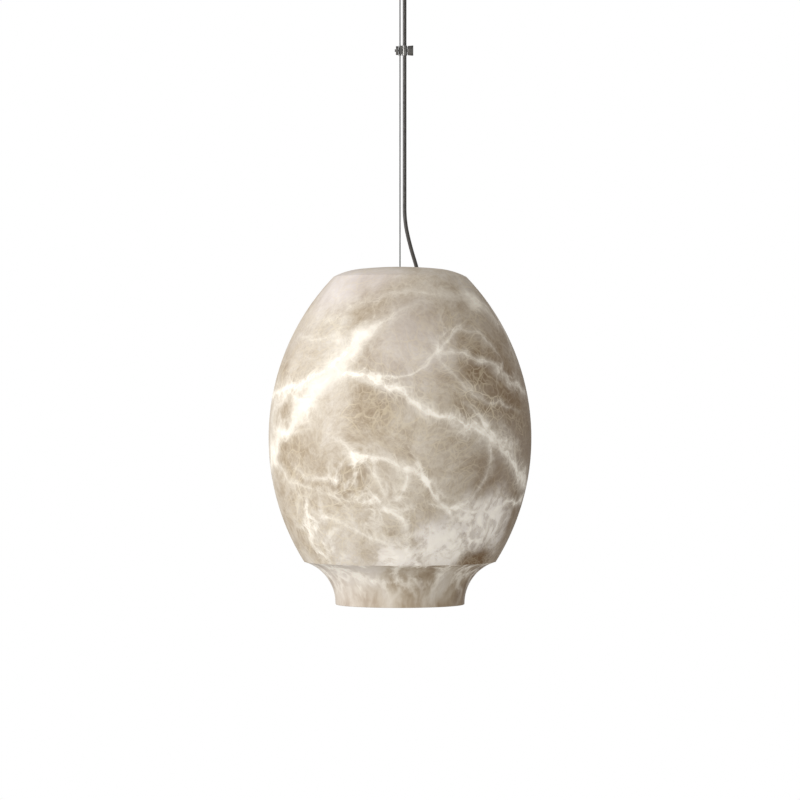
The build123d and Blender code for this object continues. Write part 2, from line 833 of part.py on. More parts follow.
terminal_screws = slotted_screws(
    [Plane((side * terminal_x, terminal_split, terminal_top), z_dir=(0, 0, -1)) for side in (-1, 1)],
    terminal_screw_radius,
    terminal_screw_length,
    terminal_screw_head_radius,
    terminal_screw_head_height,
)
with BuildPart() as holder_cores:
    for side in (-1, 1):
        core_x = side * core_spacing / 2
        add(
            tube(
                [
                    (core_x, 0, cord_end),
                    (core_x, 0, cord_end - core_drop),
                    (side * terminal_x, -terminal_split, terminal_top + core_end_run),
                    (side * terminal_x, -terminal_split, terminal_top),
                ],
                core_radius,
            ).part
        )

# Bulb: contact, insulator, screw cap, plastic housing, LED board with its driver, and a frosted globe
bulb_contact = turned(
    (0, tip_top),
    (tip_top_radius, tip_top),
    (tip_radius, insulator_top),
    (0, insulator_top),
)
bulb_insulator = turned(
    (0, insulator_top),
    (insulator_top_radius, insulator_top),
    (bulb_cap_radius, bulb_cap_top),
    (0, bulb_cap_top),
)
bulb_cap_inner = bulb_cap_radius - bulb_cap_wall
bulb_cap = ring(bulb_cap_radius, bulb_cap_inner, bulb_cap_bottom, bulb_cap_top)
globe_edge = sqrt(bulb_globe_radius**2 - bulb_globe_drop**2)
housing_spigot = bulb_cap_inner - bore_clearance
bulb_housing = turned(
    (bulb_neck_radius, bulb_cap_bottom),
    (globe_edge, housing_bottom),
    (globe_edge - bulb_wall, housing_bottom),
    (bulb_neck_radius - bulb_wall, bulb_cap_bottom - bulb_wall),
    (housing_spigot - bulb_wall, bulb_cap_bottom),
    (housing_spigot - bulb_wall, bulb_cap_bottom + bulb_spigot),
    (housing_spigot, bulb_cap_bottom + bulb_spigot),
    (housing_spigot, bulb_cap_bottom),
)
with BuildPart() as bulb_globe:
    with BuildSketch(Plane.XZ):
        with BuildLine():
            glass_inner = bulb_globe_radius - bulb_wall
            edge_angle = degrees(atan(bulb_globe_drop / globe_edge))
            outer_glass = CenterArc((0, globe_z), bulb_globe_radius, -90, 90 + edge_angle)
            inner_edge_angle = degrees(atan(bulb_globe_drop / sqrt(glass_inner**2 - bulb_globe_drop**2)))
            inner_glass = CenterArc((0, globe_z), glass_inner, -90, 90 + inner_edge_angle)
            Line(outer_glass @ 0, inner_glass @ 0)
            Line(outer_glass @ 1, inner_glass @ 1)
        make_face()
    revolve(axis=Axis.Z)

housing_slope = (globe_edge - bulb_neck_radius) / bulb_housing_height
board_radius = globe_edge - bulb_wall - board_thickness * housing_slope - fit_clearance
board_top = housing_bottom + board_thickness
led_board = rod(board_radius, housing_bottom, board_top)
with BuildPart() as bulb_leds:
    with BuildSketch(Plane.XY.offset(housing_bottom)):
        with PolarLocations(led_circle_radius, led_count):
            Rectangle(led_size, led_size)
    extrude(amount=-led_height)
with BuildPart() as bulb_driver:
    with BuildSketch(Plane.XY.offset(board_top)):
        Rectangle(driver_width, driver_thickness)
    extrude(amount=driver_height)

# Cord clip on the wire and the cord: its web stops short of the sleeves' lower ends
clip_top = clip_z + clip_height / 2
with BuildPart() as clip_body:
    with BuildSketch(Plane.XY.offset(clip_top)):
        Circle(wire_sleeve_radius)
        with Locations((cord_offset, 0)):
            Circle(cord_sleeve_radius)
    extrude(amount=-clip_height)
    with BuildSketch(Plane.XY.offset(clip_top)):
        with Locations((cord_offset / 2, 0)):
            Rectangle(cord_offset, web_thickness)
    extrude(amount=web_arch - clip_height)
    with BuildSketch(Plane.XY.offset(clip_top)):
        Circle(wire_radius + clip_clearance)
        with Locations((cord_offset, 0)):
            Circle(cord_radius + clip_clearance)
    extrude(amount=-clip_height, mode=Mode.SUBTRACT)
    with BuildSketch(Plane((0, 0, clip_z), z_dir=(-1, 0, 0))):
        Circle(wire_knob_shank_radius + clip_clearance)
    extrude(amount=2 * wire_sleeve_radius, mode=Mode.SUBTRACT)
    with BuildSketch(Plane((cord_offset, 0, clip_z), z_dir=(1, 0, 0))):
        Circle(cord_knob_shank_radius + clip_clearance)
    extrude(amount=2 * cord_sleeve_radius, mode=Mode.SUBTRACT)

# Thumb screw that grips the wire: a plain disc with a small boss
wire_knob_x = -wire_sleeve_radius - knob_gap
with BuildPart() as wire_knob:
    knob_face = Plane((wire_knob_x, 0, clip_z), z_dir=(-1, 0, 0))
    with BuildSketch(knob_face):
        Circle(wire_knob_radius)
    extrude(amount=wire_knob_thickness)
    fillet(wire_knob.edges(), knob_edge_radius)
    with BuildSketch(knob_face.offset(wire_knob_thickness)):
        Circle(wire_knob_boss_radius)
    extrude(amount=wire_knob_boss_height)
    with BuildSketch(knob_face):
        Circle(wire_knob_shank_radius)
    extrude(amount=wire_knob_x + wire_radius + grub_tip_gap)

# Thumb screw that grips the cord: a flared, knurled knob on a short neck
cord_knob_x = cord_offset + cord_sleeve_radius + knob_gap
with BuildPart() as cord_knob:
    neck_face = Plane((cord_knob_x, 0, clip_z), z_dir=(1, 0, 0))
    grip_face = neck_face.offset(cord_knob_neck_length)
    with BuildSketch(grip_face):
        Circle(cord_knob_radius)
    extrude(amount=cord_knob_thickness, taper=-degrees(atan(cord_knob_flare / cord_knob_thickness)))
    fillet(cord_knob.edges().filter_by(GeomType.CIRCLE), knob_edge_radius)
    with BuildSketch(grip_face):
        with PolarLocations(cord_knob_radius + cord_knob_flare / 2, knurl_count):
            Circle(knurl_radius)
    extrude(amount=cord_knob_thickness, mode=Mode.SUBTRACT)
    with BuildSketch(neck_face):
        Circle(cord_knob_neck_radius)
    extrude(amount=cord_knob_neck_length)
    with BuildSketch(neck_face):
        Circle(cord_knob_shank_radius)
    extrude(amount=cord_offset + cord_radius + grub_tip_gap - cord_knob_x)

# Every piece gets its name and its own STEP file
pieces = {
    "canopy_cup": canopy_cup,
    "crossbar": crossbar,
    "canopy_screws": canopy_screws,
    "earth_washer": earth_washer,
    "earth_screw": earth_screw,
    "socket_ring": socket_ring,
    "seat_ring": seat_ring,
    "swivel_ball": swivel_ball,
    "wire_grub": wire_grub,
    "cord_grub": cord_grub,
    "suspension_wire": suspension_wire,
    "top_ferrule": top_ferrule,
    "stop_ferrule": stop_ferrule,
    "stop_washer": stop_washer,
    "power_cord": power_cord,
    "cord_tail": cord_tail,
    "canopy_cores": canopy_cores,
    "connector_block": connector_block,
    "connector_screws": connector_screws,
    "shade_barrel": shade_barrel,
    "shade_collar": shade_collar,
    "wire_eyelet": wire_eyelet,
    "cord_grommet": cord_grommet,
    "load_pad": load_pad,
    "load_plate": load_plate,
    "gland_body": gland_body,
    "gland_nut": gland_nut,
    "stirrup": stirrup,
    "stirrup_screws": stirrup_screws,
    "nipple": nipple,
    "nipple_nut": nipple_nut,
    "nipple_washer": nipple_washer,
    "holder_cap": holder_cap,
    "holder_body": holder_body,
    "holder_base": holder_base,
    "holder_shell": holder_shell,
    "holder_contact": holder_contact,
    "holder_terminals": holder_terminals,
    "terminal_screws": terminal_screws,
    "holder_cores": holder_cores,
    "bulb_contact": bulb_contact,
    "bulb_insulator": bulb_insulator,
    "bulb_cap": bulb_cap,
    "bulb_housing": bulb_housing,
    "bulb_globe": bulb_globe,
    "led_board": led_board,
    "bulb_leds": bulb_leds,
    "bulb_driver": bulb_driver,
    "clip_body": clip_body,
    "wire_knob": wire_knob,
    "cord_knob": cord_knob,
}
for name, piece in pieces.items():
    piece.part.label = name
    export_step(piece.part, f"parts/{name}.step")
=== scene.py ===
"""A pendant lamp of turned alabaster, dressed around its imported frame.

Metres, +Z up, with the origin at the ceiling. The camera looks along +Y, as the photograph does.
"""

import json
from math import cos, pi, radians, sin, sqrt, tan

import bpy
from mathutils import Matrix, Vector


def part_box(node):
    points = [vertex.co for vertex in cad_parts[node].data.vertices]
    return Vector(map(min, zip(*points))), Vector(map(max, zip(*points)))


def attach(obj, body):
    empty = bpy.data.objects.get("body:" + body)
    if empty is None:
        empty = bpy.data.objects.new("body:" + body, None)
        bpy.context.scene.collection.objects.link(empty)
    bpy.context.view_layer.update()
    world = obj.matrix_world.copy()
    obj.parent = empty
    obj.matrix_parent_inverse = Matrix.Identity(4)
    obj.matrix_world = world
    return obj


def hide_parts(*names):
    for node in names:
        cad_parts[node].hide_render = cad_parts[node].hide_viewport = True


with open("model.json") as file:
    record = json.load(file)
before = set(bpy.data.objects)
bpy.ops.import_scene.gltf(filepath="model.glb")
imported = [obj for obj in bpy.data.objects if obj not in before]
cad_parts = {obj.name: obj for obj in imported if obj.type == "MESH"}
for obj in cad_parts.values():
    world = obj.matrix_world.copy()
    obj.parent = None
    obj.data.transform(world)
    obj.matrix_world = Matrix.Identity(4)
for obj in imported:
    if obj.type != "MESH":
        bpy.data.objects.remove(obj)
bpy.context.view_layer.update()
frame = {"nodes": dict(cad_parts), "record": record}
nodes = frame["nodes"]

# Sizes in metres that the frame doesn't give
MM = 0.001
BARREL_ARC_RADIUS = 283 * MM
CROWN_HEIGHT = 208.3 * MM
CORD_DIAMETER = 4.6 * MM
STRAND_RADIUS = 0.25 * MM
STRAND_LAY = 9 * MM
STRAND_COUNT = 6
THREAD_PITCH = 3.62 * MM
THREAD_DEPTH = 0.8 * MM
SHEET_METAL = 0.5 * MM
CAP_PLAIN_TOP = 1 * MM
CAP_PLAIN_FOOT = 6.5 * MM
SHELL_PLAIN_END = 2.5 * MM
SHELL_EYE_RADIUS = 6 * MM

# Route of the power cord: down beside the wire, out through the crown, back to the lampholder
CORD_ROUTE = [
    (0.0056, 0, -0.054),
    (0.0056, 0, -0.3143),
    (0.0056, 0, -0.346),
    (0.0124, 0, -0.377),
    (0.024, 0, -0.414),
    (0.024, 0, -0.452),
    (0, 0, -0.490),
    (0, 0, -0.510),
]

# Fineness of splines and meshes: steps along a span or a thread's turn, and sides round a section
SPLINE_ORDER = 3
CORD_STEPS = 24
CORD_BEVEL_STEPS = 6
WIRE_STEPS = 260
STRAND_SIDES = 6
THREAD_STEPS = 10
THREAD_SIDES = 48
FLOOR_SIDES = 96
SHARP_ANGLE = radians(50)

# Photograph: the eye's distance from the lamp's axis, its height, and half its view in degrees
EYE_DISTANCE = 4.30
EYE_HEIGHT = -0.564
HALF_VIEW = 6.465
LEVEL = radians(90)
SENSOR_WIDTH = 36.0

# Studio: the floor, and surroundings that light the lamp less from the dark side
FLOOR_HEIGHT = -5.6
FLOOR_RADIUS = 9.0
AMBIENT_LEFT = 0.66
AMBIENT_RIGHT = 0.24
DARK_SIDE = (0.8, 0.6, 0.0)
AMBIENT_TINT = (1.0, 0.985, 0.96, 1.0)
WHITE = (1.0, 1.0, 1.0, 1.0)

# Studio: soft lamps, each with its place, its diameter in metres and its power in watts
LAMPS = {
    "key": ((-2.8, -1.8, 0.1), 1.4, 56),
    "fill": ((2.2, -3.0, -0.4), 2.0, 4),
    "rim": ((-2.4, 1.8, 0.6), 1.6, 8),
    "back": ((0.4, 3.0, 0.2), 2.0, 22),
}
UNMIRRORED_LAMP = "back"

# Landmarks of the shade, from the frame
shade_low, shade_high = (Vector(corner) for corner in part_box("shade_barrel"))
SHADE_RADIUS = (shade_high.x - shade_low.x) / 2
EQUATOR = shade_high.z - CROWN_HEIGHT
RIM, SEAM = (corner[2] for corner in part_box("shade_collar"))


def srgb(red, green, blue):
    """A colour from screen values of 0 to 255, as the linear colour that a node takes."""
    channels = []
    for value in (red, green, blue):
        share = value / 255
        channels.append(share / 12.92 if share <= 0.04045 else ((share + 0.055) / 1.055) ** 2.4)
    return (*channels, 1.0)


class Nodes:
    """A node tree that is written as short calls: each call adds a node and gives back its output."""

    NUMBER_OPERATIONS = ("LENGTH", "DOT_PRODUCT", "DISTANCE")
    HALF = (0.5, 0.5, 0.5)

    def __init__(self, tree):
        self.tree = tree

    def put(self, node, socket, value):
        """Links an output to an input, or sets a plain value on it."""
        target = node.inputs[socket]
        if isinstance(value, bpy.types.NodeSocket):
            self.tree.links.new(value, target)
        else:
            target.default_value = value

    def add(self, kind, inputs, **settings):
        """A new node, with its settings and its inputs."""
        node = self.tree.nodes.new(kind)
        for name, value in settings.items():
            setattr(node, name, value)
        for socket, value in inputs.items():
            self.put(node, socket, value)
        return node

    def place(self):
        """The point on the object, in metres."""
        return self.add("ShaderNodeTexCoord", {}).outputs["Object"]

    def split(self, vector):
        """The three numbers of a vector."""
        return self.add("ShaderNodeSeparateXYZ", {0: vector}).outputs

    def join(self, *numbers):
        """A vector from its numbers."""
        return self.add("ShaderNodeCombineXYZ", dict(enumerate(numbers))).outputs[0]

    def math(self, operation, first, second=0.0, third=0.0, clamp=False):
        inputs = {0: first, 1: second, 2: third}
        return self.add("ShaderNodeMath", inputs, operation=operation, use_clamp=clamp).outputs[0]

    def vector(self, operation, first, second=(0, 0, 0)):
        node = self.add("ShaderNodeVectorMath", {0: first, 1: second}, operation=operation)
        return node.outputs["Value" if operation in self.NUMBER_OPERATIONS else "Vector"]

    def scale(self, vector, factor):
        inputs = {"Vector": vector, "Scale": factor}
        return self.add("ShaderNodeVectorMath", inputs, operation="SCALE").outputs["Vector"]

    def noise(self, vector, scale, detail, roughness=0.5, output="Fac"):
        inputs = {"Vector": vector, "Scale": scale, "Detail": detail, "Roughness": roughness}
        return self.add("ShaderNodeTexNoise", inputs).outputs[output]

    def cell_edges(self, vector, scale):
        """How far a point lies from the edge of its cell, in cells."""
        inputs = {"Vector": vector, "Scale": scale}
        return self.add("ShaderNodeTexVoronoi", inputs, feature="DISTANCE_TO_EDGE").outputs["Distance"]

    def warp(self, vector, scale, amount, detail, cloud_place=None):
        """The point, pushed about by a cloud of that scale by up to half the amount."""
        push = self.noise(cloud_place or vector, scale, detail, output="Color")
        push = self.vector("SUBTRACT", push, self.HALF)
        return self.vector("ADD", vector, self.scale(push, amount))

    def fade(self, value, start, end, first=0.0, last=1.0):
        """A smooth step from the first number, at start, to the last, at end."""
        inputs = {"Value": value, "From Min": start, "From Max": end, "To Min": first, "To Max": last}
        return self.add("ShaderNodeMapRange", inputs, interpolation_type="SMOOTHSTEP").outputs["Result"]

    def mix(self, factor, first, second):
        """A blend of two colours, whose sockets have the numbers 6 and 7, and 2 for the output."""
        return self.add("ShaderNodeMix", {0: factor, 6: first, 7: second}, data_type="RGBA").outputs[2]

    def ramp(self, value, stops):
        """A colour for a value, from stops of (position, colour)."""
        node = self.add("ShaderNodeValToRGB", {"Fac": value})
        ramp = node.color_ramp
        while len(ramp.elements) < len(stops):
            ramp.elements.new(1.0)
        for element, (position, colour) in zip(ramp.elements, stops):
            element.position = position
            element.color = colour
        return node.outputs["Color"]


class Material(Nodes):
    """A material with one shader, whose sockets are set by name, with _ for each space."""

    def __init__(self, name, **settings):
        self.data = bpy.data.materials.new(name)
        self.data.use_nodes = True
        super().__init__(self.data.node_tree)
        self.shader = self.tree.nodes["Principled BSDF"]
        for socket, value in settings.items():
            self.set(socket.replace("_", " "), value)

    def set(self, socket, value):
        self.put(self.shader, socket, value)

    def bump(self, height, distance):
        inputs = {"Height": height, "Distance": distance, "Strength": 1.0}
        self.set("Normal", self.add("ShaderNodeBump", inputs).outputs["Normal"])


# Stone: colours, and the tones that clouds take from dark to light
STONE_PALE = srgb(227, 219, 209)
STONE_BEIGE = srgb(208, 196, 179)
STONE_GREY = srgb(180, 163, 140)
STONE_BROWN = srgb(126, 98, 68)
STONE_STRAW = srgb(230, 216, 188)
STONE_CREAM = srgb(255, 250, 240)
STONE_LILAC = srgb(246, 239, 239)
BARREL_TONES = [(0.42, STONE_BROWN), (0.58, STONE_GREY), (0.72, STONE_BEIGE), (0.92, STONE_PALE)]
COLLAR_TONES = [(0.36, STONE_BROWN), (0.58, STONE_GREY), (0.70, STONE_BEIGE), (0.90, STONE_PALE)]
LAMP_TINT = (1.0, 0.96, 0.89)
STONE_SPECULAR = 0.35
POLISH_RELIEF = 0.05 * MM

# Stone: clouds that push a point about, each with its waves in a metre, its reach and its detail
DRIFT = (9, 60 * MM, 2.0)
CURL = (42, 16 * MM, 3.0)
CRACKLE = (28, 20 * MM, 2.0)
FINE_CRACKLE = (80, 6 * MM, 2.0)
PATCH_EDGE = (36, 30 * MM, 5.0)
WANDER = (34, 20 * MM, 1.0)
FINE_WANDER = (110, 3 * MM, 2.0)
COLLAR_DRIFT = (20, 24 * MM, 3.0)

# Stone: clouds of tone, each with its waves in a metre, its detail and, in most, its roughness
CLOUDS = (11, 4.0, 0.6)
MOTTLE = (60, 8.0, 0.7)
SPECKS = (240, 3.0, 0.7)
VEIL = (8, 3.0)
FRAY = (110, 4.0, 0.65)
LAYERS = (22, 3.0)
STREAKS = (110, 5.0, 0.6)
POLISH = (420, 3.0)
MOTTLE_SHARE = 0.45
STREAK_SHARE = 0.4

# Stone: factors along X, Y and Z that draw the collar's clouds out up and down
LAYER_STRETCH = (1.0, 1.0, 0.5)
STREAK_STRETCH = (1.0, 1.0, 0.26)

# Stone: feathers, each with its waves in a metre and the heights between which its ridges show
THREADS = (24, 1.2, 2.6)
COTTON = (40, 0.9, 2.4)
COLLAR_FEATHERS = (36, 0.9, 2.4)
RIDGES = {"Detail": 6.0, "Roughness": 0.6, "Lacunarity": 2.1, "Offset": 1.0, "Gain": 1.6}

# Stone: nets of fine lines, each with its cells in a metre, its lines' width in cells and its strength
NETS = [(36, 0.05, 0.9), (66, 0.075, 0.8), (120, 0.12, 0.6)]
NET_CLOUD_SHARE = 0.4
NET_CLOUD_DETAIL = 3.0

# Stone: smooth steps, each with the values where it starts and ends and what it gives there
# Painted shade: the barrel's right side is browned and darkened, full on the front and fading behind,
# partly the stone's own brown tint
PAINTED_SHADE_ASIDE = (SHADE_RADIUS / 4, SHADE_RADIUS, 0.0, 0.68)
PAINTED_SHADE_BEHIND = (0.0, SHADE_RADIUS / 2, 1.0, 0.3)
SPECKS_STEP = (0.35, 0.65, 0.12, 0.0)
MOTTLE_STEP = (0.43, 0.56, 0.48, 1.0)
VEIL_STEP = (0.38, 0.58, 0.20, 0.5)
NET_STEP = (0.36, 0.60, 0.1, 1.0)
FRAY_STEP = (0.3, 0.7, -0.7, 0.9)
BAND_STEP = (0.0, 4.4, 0.84, 0.0)
BAND_THREADS = (0.0, 0.6, 0.8, 1.0)
CORE_STEP = (0.0, 3.2, 0.8, 0.0)
CORE_THREADS = (0.0, 0.6, 0.6, 1.0)
CORE_RIPPLE = (-1.0, 1.0, 0.75, 1.0)
BESIDE_STEP = (0.0, 8.0, 0.6, 0.0)
HAZE_STEP = (0.0, 7.0, 0.28, 0.0)
GLOW_STEP = (0.0, 1.0, 0.10, 0.22)
POLISH_STEP = (0.3, 0.7, 0.34, 0.46)
# Painted shade and light on the collar: darker towards its right side and its rim, paler lilac towards
# its lit left side
COLLAR_SHADE_ASIDE = (-SHADE_RADIUS / 4, SHADE_RADIUS / 2, 0.0, 0.2)
COLLAR_SHADE_BELOW = (SEAM, RIM, 0.0, 0.08)
COLLAR_PAINTED_LIGHT_ASIDE = (0.0, -SHADE_RADIUS / 2, 0.0, 0.25)
COLLAR_FEATHERS_ABOVE = (RIM, SEAM, 0.2, 0.9)

# Stone: the veins on the front, each an arc: its half width, then its start, middle and end,
# across and above the equator, in mm
BAND = {
    "foot": (3.0, (-157, -24), (-139, 8), (-114, 38)),
    "body": (6.2, (-122, 28), (-94, 67), (-66, 97)),
    "head": (4.0, (-70, 94), (-57, 110), (-44, 124)),
}
BRIGHT_VEINS = {
    "left branch": (2.4, (-155, 55), (-128, 62), (-88, 82)),
    "arc, upper": (2.2, (-64, 79), (-30, 70), (4, 53)),
    "arc, middle": (2.7, (0, 55), (30, 35), (66, 20)),
    "arc, body": (4.2, (60, 22), (96, 10), (120, -2)),
    "arc, end": (2.6, (116, 1), (134, -24), (152, -54)),
    "hook, end": (1.9, (30, -46), (43, -66), (58, -88)),
    "patch's edge": (1.6, (74, -84), (112, -82), (147, -69)),
}
SOFT_VEINS = {
    "hook": (1.8, (-40, -21), (2, -32), (32, -47)),
    "fork, stem": (1.3, (62, 122), (51, 110), (38, 98)),
    "fork, foot": (1.1, (40, 99), (20, 80), (-16, 73)),
    "right slant": (1.4, (78, 99), (116, 83), (150, 54)),
}
FAINT_VEINS = {
    "crest": (2.4, (-50, 118), (-28, 134), (-4, 147)),
    "slope": (1.8, (-68, -7), (-42, -32), (-22, -60)),
    "slope, foot": (2.0, (-34, -74), (-4, -90), (8, -113)),
    "left twig": (1.6, (-152, 35), (-138, 49), (-117, 46)),
    "fork, arm": (1.4, (66, 129), (88, 127), (108, 114)),
    "right net": (1.4, (66, 74), (84, 58), (126, 38)),
    "upper right": (2.2, (64, 173), (96, 161), (134, 115)),
    "top line": (3.0, (-44, 162), (-12, 171), (64, 173)),
    "top left": (1.6, (-112, 119), (-88, 118), (-66, 146)),
    "left run": (1.8, (-130, -54), (-80, -65), (-34, -74)),
    "left loop": (1.4, (-147, -31), (-138, -44), (-130, -55)),
    "left dash": (1.6, (-112, -42), (-98, -47), (-80, -48)),
    "right drop": (1.2, (106, -26), (97, -52), (72, -80)),
    "hook, twig": (1.0, (8, -46), (6, -54), (1, -62)),
    "lower left": (2.2, (-110, -82), (-105, -108), (-96, -132)),
    "lower middle": (1.6, (-97, -89), (-62, -103), (-27, -118)),
}
FRONT_PLANE = (1.0, 0.0, 1.0)
VEIN_TAPER = 9 * MM
VEIN_MERGE = 0.6
VEIN_RIPPLES = 4.0
SOFT_SHARE = 0.65
FAINT_SHARE = 0.45
NET_THREAD_SHARE = 0.6
CLOUDY_SHARE = 0.75

# Stone: how far the pattern slides across and up towards the back, for each metre of depth
BACK_SLIDE = (0.45, -0.6)

# Stone: patches on the front, each with its radius, its strength and its middle, in mm as the veins are
PATCH_CORE = 0.2
PALE_PATCHES = [
    (64, 1.0, (104, -104)),
    (50, 1.0, (50, -126)),
    (40, 0.7, (0, -144)),
]
MIST_PATCHES = [
    (70, 0.65, (-70, 186)),
    (50, 0.5, (-30, 198)),
    (76, 0.3, (14, 108)),
]
WHITE_PATCHES = [
    (46, 0.2, (-118, 32)),
    (42, 0.2, (-86, 70)),
    (24, 0.3, (88, 166)),
    (90, 0.16, (14, -46)),
]
COTTON_PATCHES = [
    (56, 0.55, (-56, -44)),
    (70, 0.5, (-24, -86)),
    (64, 0.7, (-100, -112)),
    (60, 0.7, (84, -108)),
    (50, 0.5, (10, -140)),
]
# The two faint patches near the top, at (-126, 116) and (10, 150), are painted shade that darkens the
# barrel's upper part; the others are the stone's own brown patches
DARK_AND_SHADE_PATCHES = [
    (42, 1.0, (90, -148)),
    (50, 0.25, (-126, 116)),
    (24, 0.5, (142, -96)),
    (56, 0.5, (126, 62)),
    (40, 0.5, (96, 82)),
    (40, 0.4, (104, -46)),
    (60, 0.3, (10, 150)),
    (36, 0.35, (-10, 60)),
]
NET_PATCHES = [
    (70, 0.65, (-36, 44)),
    (70, 0.8, (96, 48)),
    (84, 0.65, (-64, -66)),
    (52, 0.6, (-86, 124)),
    (80, 0.65, (50, -30)),
]


def on_front(point):
    """A point of the barrel's front surface, from its place across and above the equator in mm."""
    across, above = (value * MM for value in point)
    radius = SHADE_RADIUS - BARREL_ARC_RADIUS + sqrt(BARREL_ARC_RADIUS**2 - above**2)
    depth = sqrt(max(radius**2 - across**2, 0.0))
    return Vector((across, -depth, EQUATOR + above))


def fold(stone, place):
    """The point, with the back laid over the front and slid aside, so that the veins run through."""
    across, depth, above = stone.split(place)
    behind = stone.math("MAXIMUM", depth, 0.0)
    across = stone.math("MULTIPLY_ADD", behind, BACK_SLIDE[0], across)
    above = stone.math("MULTIPLY_ADD", behind, BACK_SLIDE[1], above)
    before = stone.math("MULTIPLY", stone.math("ABSOLUTE", depth), -1.0)
    return stone.join(across, before, above)


def circle_through(start, middle, end):
    """Centre and radius of the circle through three points, seen from the front."""
    (ax, _, az), (bx, _, bz), (cx, _, cz) = start, middle, end
    twist = 2 * (ax * (bz - cz) + bx * (cz - az) + cx * (az - bz))
    a_square, b_square, c_square = ax**2 + az**2, bx**2 + bz**2, cx**2 + cz**2
    x = (a_square * (bz - cz) + b_square * (cz - az) + c_square * (az - bz)) / twist
    z = (a_square * (cx - bx) + b_square * (ax - cx) + c_square * (bx - ax)) / twist
    return Vector((x, 0, z)), sqrt((ax - x) ** 2 + (az - z) ** 2)


def vein_gap(stone, place, veins):
    """How far a point lies from the nearest of the placed veins, in half widths of that vein."""
    flat = stone.vector("MULTIPLY", place, FRONT_PLANE)
    nearest = None
    for half_width, *points in veins.values():
        start, middle, end = (on_front(point) for point in points)
        centre, radius = circle_through(start, middle, end)
        beside = stone.math("SUBTRACT", stone.vector("DISTANCE", flat, centre), radius)
        beside = stone.math("DIVIDE", stone.math("ABSOLUTE", beside), half_width * MM)
        reach = max((start - middle).length, (end - middle).length)
        beyond = stone.math("SUBTRACT", stone.vector("DISTANCE", place, middle), reach)
        beyond = stone.math("MAXIMUM", beyond, 0.0)
        gap = stone.math("MULTIPLY_ADD", beyond, 1 / VEIN_TAPER, beside)
        nearest = gap if nearest is None else stone.math("SMOOTH_MIN", nearest, gap, VEIN_MERGE)
    return nearest


def patches(stone, place, spots):
    """How strongly a point lies inside any of the patches, from 0 to 1."""
    total = None
    for radius, strength, middle in spots:
        reach = stone.vector("DISTANCE", place, on_front(middle))
        share = stone.fade(reach, PATCH_CORE * radius * MM, radius * MM, strength, 0.0)
        total = share if total is None else stone.math("MAXIMUM", total, share)
    return total


def feathers(stone, place, scale, start, end):
    """Ragged threads along the ridges of a cloud, from 0 to 1."""
    inputs = {"Vector": place, "Scale": scale, **RIDGES}
    ridges = stone.add("ShaderNodeTexNoise", inputs, noise_type="RIDGED_MULTIFRACTAL").outputs["Fac"]
    return stone.fade(ridges, start, end)


def network(stone, place):
    """Fine lines round the cells of several nets, broken where clouds of a like scale hide them."""
    total = None
    for scale, width, strength in NETS:
        line = stone.fade(stone.cell_edges(place, scale), 0.0, width, strength, 0.0)
        cloud = stone.noise(place, NET_CLOUD_SHARE * scale, NET_CLOUD_DETAIL)
        line = stone.math("MULTIPLY", line, stone.fade(cloud, *NET_STEP))
        total = line if total is None else stone.math("MAXIMUM", total, line)
    return total


def vein_light(stone, place, veins, fray, threads):
    """The soft pale core of the veins, the threads that leave it and the haze round it, from 0 to 1."""
    gap = stone.math("ADD", vein_gap(stone, place, veins), fray)
    ripple = stone.math("SINE", stone.math("MULTIPLY", gap, VEIN_RIPPLES))
    core = stone.fade(gap, *CORE_STEP)
    core = stone.math("MULTIPLY", core, stone.fade(threads, *CORE_THREADS))
    core = stone.math("MULTIPLY", core, stone.fade(ripple, *CORE_RIPPLE))
    beside = stone.math("MULTIPLY", stone.fade(gap, *BESIDE_STEP), threads)
    haze = stone.fade(gap, *HAZE_STEP)
    return stone.math("ADD", stone.math("MAXIMUM", core, beside), haze, clamp=True)


def finish_stone(stone, colour, pale):
    """Pale veins, polish, the bulb's light through the stone, and the faint relief of polishing."""
    colour = stone.mix(pale, colour, STONE_CREAM)
    stone.set("Base Color", colour)
    stone.set("Emission Color", stone.vector("MULTIPLY", colour, LAMP_TINT))
    stone.set("Emission Strength", stone.fade(pale, *GLOW_STEP))
    grain = stone.noise(stone.place(), *POLISH)
    stone.set("Roughness", stone.fade(grain, *POLISH_STEP))
    stone.bump(grain, POLISH_RELIEF)
    return stone.data


def barrel_ground(stone, drift, curl, mottle):
    """The barrel's clouds of tone, with fine brown specks and painted shade that browns its right side,
    partly the stone's own brown tint.
    """
    clouds = stone.math("MULTIPLY_ADD", mottle, MOTTLE_SHARE, stone.noise(curl, *CLOUDS))
    colour = stone.ramp(clouds, BARREL_TONES)
    across, depth, _ = stone.split(drift)
    # Painted shade: browner towards the right side, fading out towards the back
    brown = stone.fade(across, *PAINTED_SHADE_ASIDE)
    brown = stone.math("MULTIPLY", brown, stone.fade(depth, *PAINTED_SHADE_BEHIND))
    colour = stone.mix(brown, colour, STONE_BROWN)
    specks = stone.fade(stone.noise(curl, *SPECKS), *SPECKS_STEP)
    return stone.mix(specks, colour, STONE_BROWN)


